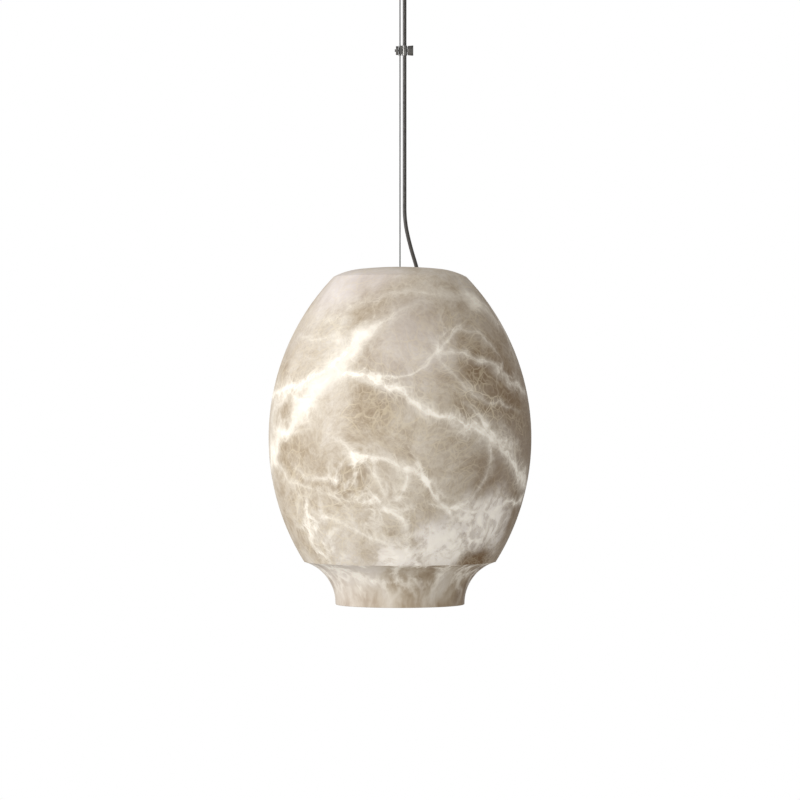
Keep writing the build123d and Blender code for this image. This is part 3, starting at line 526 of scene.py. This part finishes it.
def barrel_stone():
    """Alabaster of the barrel: clouds, patches, a net of fine lines and the main veins, with painted
    shade on its right side and over its top.
    """
    stone = Material("alabaster", Specular_IOR_Level=STONE_SPECULAR)
    place = stone.place()
    drift = stone.warp(place, *DRIFT)
    curl = stone.warp(drift, *CURL)
    mottle = stone.noise(curl, *MOTTLE)
    colour = barrel_ground(stone, drift, curl, mottle)

    # Dark patches, two of them painted shade over the top, and pale and misty patches with ragged edges
    folded = fold(stone, place)
    ragged = stone.warp(folded, *PATCH_EDGE, place)
    dark = patches(stone, ragged, DARK_AND_SHADE_PATCHES)
    clear = stone.math("SUBTRACT", 1.0, dark)
    cloudy = stone.math("MULTIPLY", patches(stone, ragged, PALE_PATCHES), clear)
    cloudy = stone.math("MULTIPLY", cloudy, stone.fade(mottle, *MOTTLE_STEP))
    colour = stone.mix(dark, stone.mix(cloudy, colour, STONE_LILAC), STONE_BROWN)
    colour = stone.mix(patches(stone, ragged, MIST_PATCHES), colour, STONE_LILAC)

    # Straw lines of the net, veiled outside its patches
    lines = network(stone, stone.warp(stone.warp(drift, *CRACKLE), *FINE_CRACKLE))
    veil = stone.fade(stone.noise(place, *VEIL), *VEIL_STEP)
    veil = stone.math("MAXIMUM", veil, patches(stone, ragged, NET_PATCHES))
    colour = stone.mix(stone.math("MULTIPLY", lines, veil), colour, STONE_STRAW)

    # White patches and cotton
    cotton = stone.math("MULTIPLY", patches(stone, ragged, COTTON_PATCHES), clear)
    cotton = stone.math("MULTIPLY", cotton, feathers(stone, curl, *COTTON))
    cloudy = stone.math("MULTIPLY", cloudy, CLOUDY_SHARE)
    pale = stone.math("MAXIMUM", patches(stone, ragged, WHITE_PATCHES), cloudy)
    pale = stone.math("ADD", pale, cotton)

    # The white band and the veins
    wander = stone.warp(stone.warp(folded, *WANDER, place), *FINE_WANDER, place)
    net_threads = stone.math("MULTIPLY", lines, NET_THREAD_SHARE)
    threads = stone.math("MAXIMUM", feathers(stone, curl, *THREADS), net_threads)
    fray = stone.fade(stone.noise(place, *FRAY), *FRAY_STEP)
    band = stone.fade(vein_gap(stone, ragged, BAND), *BAND_STEP)
    band = stone.math("MULTIPLY", band, stone.fade(threads, *BAND_THREADS))
    bright = vein_light(stone, wander, BRIGHT_VEINS, fray, threads)
    pale = stone.math("MAXIMUM", pale, stone.math("MAXIMUM", bright, band))
    for veins, share in ((SOFT_VEINS, SOFT_SHARE), (FAINT_VEINS, FAINT_SHARE)):
        light = vein_light(stone, wander, veins, fray, threads)
        pale = stone.math("MULTIPLY_ADD", light, share, pale, clamp=True)
    return finish_stone(stone, colour, pale)


def collar_stone():
    """The collar's own block of alabaster, cut so that its layers run up and down, with painted shade
    towards its right side and its rim and painted light on its left side.
    """
    stone = Material("alabaster_collar", Specular_IOR_Level=STONE_SPECULAR)
    drift = stone.warp(stone.place(), *COLLAR_DRIFT)
    layers = stone.vector("MULTIPLY", drift, LAYER_STRETCH)
    streaks = stone.noise(stone.vector("MULTIPLY", drift, STREAK_STRETCH), *STREAKS)
    across, _, above = stone.split(drift)
    # Painted shade: darker towards the right side and towards the rim
    shaded = stone.fade(across, *COLLAR_SHADE_ASIDE)
    shaded = stone.math("ADD", shaded, stone.fade(above, *COLLAR_SHADE_BELOW))
    clouds = stone.math("MULTIPLY_ADD", streaks, STREAK_SHARE, stone.noise(layers, *LAYERS))
    colour = stone.ramp(stone.math("SUBTRACT", clouds, shaded), COLLAR_TONES)
    # Painted light: paler, lilac-tinted towards the left side
    colour = stone.mix(stone.fade(across, *COLLAR_PAINTED_LIGHT_ASIDE), colour, STONE_LILAC)
    pale = feathers(stone, layers, *COLLAR_FEATHERS)
    pale = stone.math("MULTIPLY", pale, stone.fade(above, *COLLAR_FEATHERS_ABOVE))
    return finish_stone(stone, colour, pale)


# Plain finishes of the record's slots, each with its dark and its light tone, its grains in a metre,
# its least and greatest roughness, and its relief in mm
FINISHES = {
    "plain_steel": ((186, 187, 188), (212, 212, 210), 700, (0.30, 0.46), 0.010),
    "wire_steel": ((92, 92, 92), (120, 120, 118), 900, (0.40, 0.55), 0.004),
    "dark_steel": ((112, 111, 110), (146, 145, 142), 1100, (0.30, 0.46), 0.010),
    "brass": ((178, 142, 78), (214, 180, 110), 500, (0.25, 0.42), 0.008),
    "cap_metal": ((190, 191, 193), (222, 222, 222), 600, (0.22, 0.36), 0.006),
    "cord_sheath": ((64, 61, 58), (82, 79, 75), 1500, (0.26, 0.38), 0.010),
    "nylon": ((214, 210, 199), (232, 229, 220), 800, (0.40, 0.52), 0.010),
    "clear_plastic": ((214, 214, 208), (232, 232, 228), 300, (0.30, 0.40), 0.010),
    "soft_rubber": ((62, 60, 58), (86, 84, 81), 1600, (0.70, 0.84), 0.030),
    "felt": ((88, 85, 80), (128, 124, 117), 1400, (0.85, 0.95), 0.100),
    "holder_plastic": ((224, 222, 215), (240, 238, 232), 900, (0.28, 0.40), 0.010),
    "porcelain": ((226, 221, 209), (242, 239, 230), 1200, (0.55, 0.70), 0.020),
    "opal": ((236, 224, 203), (246, 237, 221), 60, (0.30, 0.42), 0.010),
    "bulb_white": ((228, 228, 224), (243, 243, 240), 700, (0.32, 0.44), 0.010),
    "dark_glass": ((16, 16, 18), (34, 34, 37), 400, (0.08, 0.18), 0.004),
    "board": ((222, 224, 219), (238, 239, 235), 500, (0.40, 0.50), 0.010),
    "led_yellow": ((244, 206, 96), (255, 232, 150), 900, (0.30, 0.42), 0.010),
    "driver_green": ((22, 84, 48), (40, 116, 68), 400, (0.35, 0.48), 0.020),
}
CORE_FINISH = ((60, 38, 28), (84, 54, 38), 900, (0.40, 0.50), 0.010)
CORE_BLUE = srgb(52, 92, 150)
PAPER_FINISH = ((240, 240, 239), (247, 247, 246), 40, (0.30, 0.42), 0.010)
PAPER_GLOW = 0.42

# What some of the plain finishes have besides: metal, sheen, clearness, or light from behind
METAL = {"Metallic": 1.0}
EXTRAS = {
    "plain_steel": METAL,
    "wire_steel": METAL,
    "dark_steel": METAL,
    "brass": METAL,
    "cap_metal": METAL,
    "clear_plastic": {"Transmission_Weight": 0.35},
    "felt": {"Sheen_Weight": 0.4},
    "opal": {"glow": 0.12},
    "led_yellow": {"glow": 3.0},
}

# Plain finishes: detail and roughness of the grain, size and detail of the blotches, and the values
# of a cloud between which tone and gloss change
GRAIN_DETAIL = (4.0, 0.6)
GRAINS_IN_BLOTCH = 12
BLOTCH_DETAIL = 3.0
TONE_LIMITS = (0.35, 0.65)
GLOSS_LIMITS = (0.3, 0.7)

# Satin steel: its tones, its roughness, and its lathe marks and clouds as the stone's clouds are given
SATIN_DARK = srgb(174, 173, 171)
SATIN_LIGHT = srgb(184, 183, 181)
SATIN_ROUGH = (0.28, 0.42)
SATIN_CLOUD = (60, 3.0)
LATHE_MARKS = (2600, 3.0, 0.6)
LATHE_RELIEF = 0.02 * MM
TOP_PLANE = (1.0, 1.0, 0.0)


def grained(name, dark, light, grain, rough, relief, glow=0.0, **settings):
    """A plain surface with the small changes of tone, gloss and relief that its grain gives."""
    surface = Material(name, **settings)
    place = surface.place()
    tone = surface.noise(place, grain, *GRAIN_DETAIL)
    blotch = surface.noise(place, grain / GRAINS_IN_BLOTCH, BLOTCH_DETAIL)
    shade = surface.math("DIVIDE", surface.math("ADD", tone, blotch), 2.0)
    colour = surface.mix(surface.fade(shade, *TONE_LIMITS), srgb(*dark), srgb(*light))
    surface.set("Base Color", colour)
    surface.set("Roughness", surface.fade(tone, *GLOSS_LIMITS, *rough))
    surface.bump(tone, relief * MM)
    if glow:
        surface.set("Emission Color", colour)
        surface.set("Emission Strength", glow)
    return surface


def satin_steel():
    """Metal with the fine rings that a lathe or a spinning tool leaves round the Z axis."""
    metal = Material("satin_steel", **METAL)
    place = metal.place()
    across = metal.vector("LENGTH", metal.vector("MULTIPLY", place, TOP_PLANE))
    rings = metal.join(across, metal.split(place)["Z"])
    marks = metal.noise(rings, *LATHE_MARKS)
    cloud = metal.noise(place, *SATIN_CLOUD)
    metal.set("Base Color", metal.mix(metal.fade(cloud, *GLOSS_LIMITS), SATIN_DARK, SATIN_LIGHT))
    metal.set("Roughness", metal.fade(marks, *GLOSS_LIMITS, *SATIN_ROUGH))
    metal.bump(marks, LATHE_RELIEF)
    return metal.data


def split_cores(name, middle):
    """Insulation of two cores: one brown and one blue, either side of a plane across X."""
    cores = grained(name, *CORE_FINISH)
    side = cores.math("GREATER_THAN", cores.split(cores.place())["X"], middle)
    brown = cores.shader.inputs["Base Color"].links[0].from_socket
    cores.set("Base Color", cores.mix(side, brown, CORE_BLUE))
    return cores.data


def slot_materials():
    """One material for each slot of the record, apart from the cores."""
    materials = {"stone": barrel_stone(), "satin_steel": satin_steel()}
    for slot, finish in FINISHES.items():
        materials[slot] = grained(slot, *finish, **EXTRAS.get(slot, {})).data
    return materials


def paint(thing, material):
    """Gives an object one material for its whole surface."""
    thing.data.materials.clear()
    thing.data.materials.append(material)


def paint_nodes(materials):
    """Every node takes the material of its slot, and the collar and the cores take their own."""
    for part in frame["record"]["subparts"]:
        if part["material_slot"] in materials:
            paint(nodes[part["node"]], materials[part["material_slot"]])
    paint(nodes["shade_collar"], collar_stone())
    for node in ("canopy_cores", "holder_cores"):
        low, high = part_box(node)
        paint(nodes[node], split_cores(node, (low[0] + high[0]) / 2))


def mesh_object(name, vertices, faces, material):
    """A smooth mesh object from its points and faces."""
    mesh = bpy.data.meshes.new(name)
    mesh.from_pydata(vertices, [], faces)
    mesh.polygons.foreach_set("use_smooth", [True] * len(mesh.polygons))
    mesh.set_sharp_from_angle(angle=SHARP_ANGLE)
    mesh.update()
    thing = bpy.data.objects.new(name, mesh)
    bpy.context.scene.collection.objects.link(thing)
    paint(thing, material)
    return thing


def smooth_route(name, route, steps):
    """A curve object along one smooth spline, with the route's points as its control points."""
    curve = bpy.data.curves.new(name, "CURVE")
    curve.dimensions = "3D"
    spline = curve.splines.new("NURBS")
    spline.points.add(len(route) - 1)
    for point, place in zip(spline.points, route):
        point.co = (*place, 1.0)
    spline.order_u = SPLINE_ORDER
    spline.use_endpoint_u = True
    spline.resolution_u = steps
    thing = bpy.data.objects.new(name, curve)
    bpy.context.scene.collection.objects.link(thing)
    return thing


def route_points(route, steps):
    """Points along a route, read from its smooth spline."""
    guide = smooth_route("guide", route, steps)
    bpy.context.view_layer.update()
    mesh = bpy.data.meshes.new_from_object(guide)
    points = [vertex.co.copy() for vertex in mesh.vertices]
    bpy.data.objects.remove(guide)
    return points


def power_cord(material):
    """The grey cord, as one smooth tube along its route."""
    cord = smooth_route("power_cord_sheath", CORD_ROUTE, CORD_STEPS)
    cord.data.bevel_depth = CORD_DIAMETER / 2
    cord.data.bevel_resolution = CORD_BEVEL_STEPS
    cord.data.use_fill_caps = True
    paint(cord, material)
    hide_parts("power_cord")
    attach(cord, "pendant")


def strand(points, helix_radius, phase):
    """The points and faces of one thin strand that winds round a line."""
    vertices = []
    faces = []
    travelled = 0.0
    for index, point in enumerate(points):
        if index:
            travelled += (point - points[index - 1]).length
        turn = phase + 2 * pi * travelled / STRAND_LAY
        middle = point + Vector((cos(turn), sin(turn), 0)) * helix_radius
        for side in range(STRAND_SIDES):
            angle = 2 * pi * side / STRAND_SIDES
            vertices.append(middle + Vector((cos(angle), sin(angle), 0)) * STRAND_RADIUS)
    for ring in range(len(points) - 1):
        for side in range(STRAND_SIDES):
            here = ring * STRAND_SIDES + side
            beside = ring * STRAND_SIDES + (side + 1) % STRAND_SIDES
            faces.append((here, here + STRAND_SIDES, beside + STRAND_SIDES, beside))
    last = (len(points) - 1) * STRAND_SIDES
    faces.append(tuple(range(STRAND_SIDES)))
    faces.append(tuple(last + side for side in reversed(range(STRAND_SIDES))))
    return vertices, faces


def suspension_wire(material):
    """The steel wire: six strands laid round a seventh."""
    low, high = (Vector(corner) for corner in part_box("suspension_wire"))
    middle = (low.z + high.z) / 2
    points = route_points([(0, 0, high.z), (0, 0, middle), (0, 0, low.z)], WIRE_STEPS)
    vertices = []
    faces = []
    winds = [(0.0, 0.0)]
    winds += [(2 * STRAND_RADIUS, 2 * pi * turn / STRAND_COUNT) for turn in range(STRAND_COUNT)]
    for helix_radius, phase in winds:
        new_vertices, new_faces = strand(points, helix_radius, phase)
        faces += [tuple(index + len(vertices) for index in face) for face in new_faces]
        vertices += new_vertices
    wire = mesh_object("suspension_wire_strands", vertices, faces, material)
    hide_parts("suspension_wire")
    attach(wire, "pendant")


def thread_rings(radius, high, low, depth):
    """Rings down a sleeve as (radius, height, thread depth): the thread fades in and out."""
    count = round((high - low) / THREAD_PITCH * THREAD_STEPS)
    rings = []
    for step in range(count + 1):
        share = min(1.0, step / THREAD_STEPS, (count - step) / THREAD_STEPS)
        rings.append((radius, high + (low - high) * step / count, share * depth))
    return rings


def turned_sleeve(name, rings, material):
    """A closed loop of rings as one mesh: each ring is round, but for the wave of its thread."""
    vertices = []
    faces = []
    for radius, height, depth in rings:
        for side in range(THREAD_SIDES):
            angle = 2 * pi * side / THREAD_SIDES
            wave = (1 - cos(2 * pi * height / THREAD_PITCH - angle)) / 2
            reach = radius + depth * wave
            vertices.append((reach * cos(angle), reach * sin(angle), height))
    for index in range(len(rings)):
        here = index * THREAD_SIDES
        after = (index + 1) % len(rings) * THREAD_SIDES
        for side in range(THREAD_SIDES):
            beside = (side + 1) % THREAD_SIDES
            faces.append((here + side, after + side, after + beside, here + beside))
    return mesh_object(name, vertices, faces, material)


def bulb_thread(material):
    """The bulb's screw cap: thin metal with a round thread that is pressed inwards."""
    low, high = (Vector(corner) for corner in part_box("bulb_cap"))
    outer = high.x
    inner = outer - SHEET_METAL
    ends = (high.z - CAP_PLAIN_TOP, low.z + CAP_PLAIN_FOOT)
    rings = [(outer, high.z, 0.0), *thread_rings(outer, *ends, -THREAD_DEPTH), (outer, low.z, 0.0)]
    rings += [(inner, low.z, 0.0), *reversed(thread_rings(inner, *ends, -THREAD_DEPTH))]
    rings.append((inner, high.z, 0.0))
    cap = turned_sleeve("bulb_cap_thread", rings, material)
    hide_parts("bulb_cap")
    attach(cap, "bulb")


def shell_thread(material):
    """The lampholder's shell: a thin cup with a hole in its top and a thread that is pressed outwards."""
    low, high = (Vector(corner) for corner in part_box("holder_shell"))
    outer = high.x
    inner = outer - SHEET_METAL
    ends = (high.z - SHELL_PLAIN_END, low.z + SHELL_PLAIN_END)
    rings = [(outer, high.z, 0.0), *thread_rings(outer, *ends, THREAD_DEPTH), (outer, low.z, 0.0)]
    rings += [(inner, low.z, 0.0), *reversed(thread_rings(inner, *ends, THREAD_DEPTH))]
    rings += [(inner, high.z - SHEET_METAL, 0.0), (SHELL_EYE_RADIUS, high.z - SHEET_METAL, 0.0)]
    rings.append((SHELL_EYE_RADIUS, high.z, 0.0))
    shell = turned_sleeve("holder_shell_thread", rings, material)
    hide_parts("holder_shell")
    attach(shell, "pendant")


def surroundings():
    """A world that the camera sees white, and that lights the lamp most from the left."""
    world = bpy.data.worlds.new("studio")
    world.use_nodes = True
    sky = Nodes(world.node_tree)
    towards = sky.add("ShaderNodeTexCoord", {}).outputs["Generated"]
    aside = sky.vector("DOT_PRODUCT", towards, DARK_SIDE)
    half_change = (AMBIENT_RIGHT - AMBIENT_LEFT) / 2
    strength = sky.math("MULTIPLY_ADD", aside, half_change, AMBIENT_LEFT + half_change)
    ambient = sky.tree.nodes["Background"]
    sky.put(ambient, "Color", AMBIENT_TINT)
    sky.put(ambient, "Strength", strength)
    backdrop = sky.add("ShaderNodeBackground", {"Color": WHITE})
    seen = sky.add("ShaderNodeLightPath", {}).outputs["Is Camera Ray"]
    either = sky.add("ShaderNodeMixShader", {0: seen, 1: ambient.outputs[0], 2: backdrop.outputs[0]})
    sky.put(sky.tree.nodes["World Output"], "Surface", either.outputs[0])
    bpy.context.scene.world = world


def pale_floor():
    """A round of pale paper far below, which throws no light back on the lamp."""
    rim = []
    for step in range(FLOOR_SIDES):
        angle = 2 * pi * step / FLOOR_SIDES
        rim.append((FLOOR_RADIUS * cos(angle), FLOOR_RADIUS * sin(angle), FLOOR_HEIGHT))
    paper = grained("floor_paper", *PAPER_FINISH, glow=PAPER_GLOW).data
    floor = mesh_object("floor", rim, [tuple(range(FLOOR_SIDES))], paper)
    floor.visible_diffuse = False
    floor.visible_glossy = False


def soft_lamps():
    """Large soft lamps that face the middle of the picture, the strongest from the left."""
    middle = Vector((0, 0, EYE_HEIGHT))
    for name, (place, size, power) in LAMPS.items():
        data = bpy.data.lights.new(name, "AREA")
        data.shape = "DISK"
        data.size = size
        data.energy = power
        lamp = bpy.data.objects.new(name, data)
        lamp.location = place
        lamp.rotation_euler = (middle - Vector(place)).to_track_quat("-Z", "Y").to_euler()
        lamp.visible_glossy = name != UNMIRRORED_LAMP
        bpy.context.scene.collection.objects.link(lamp)


def camera():
    """The photograph's eye: level with the middle of the picture, far away, with a long lens."""
    data = bpy.data.cameras.new("camera")
    data.sensor_width = SENSOR_WIDTH
    data.lens = SENSOR_WIDTH / (2 * tan(radians(HALF_VIEW)))
    eye = bpy.data.objects.new("camera", data)
    eye.location = (0, -EYE_DISTANCE, EYE_HEIGHT)
    eye.rotation_euler = (LEVEL, 0, 0)
    bpy.context.scene.collection.objects.link(eye)
    bpy.context.scene.camera = eye
    bpy.context.scene.view_settings.view_transform = "Standard"


camera()
slots = slot_materials()
paint_nodes(slots)
power_cord(slots["cord_sheath"])
suspension_wire(slots["wire_steel"])
bulb_thread(slots["cap_metal"])
shell_thread(slots["brass"])
surroundings()
pale_floor()
soft_lamps()
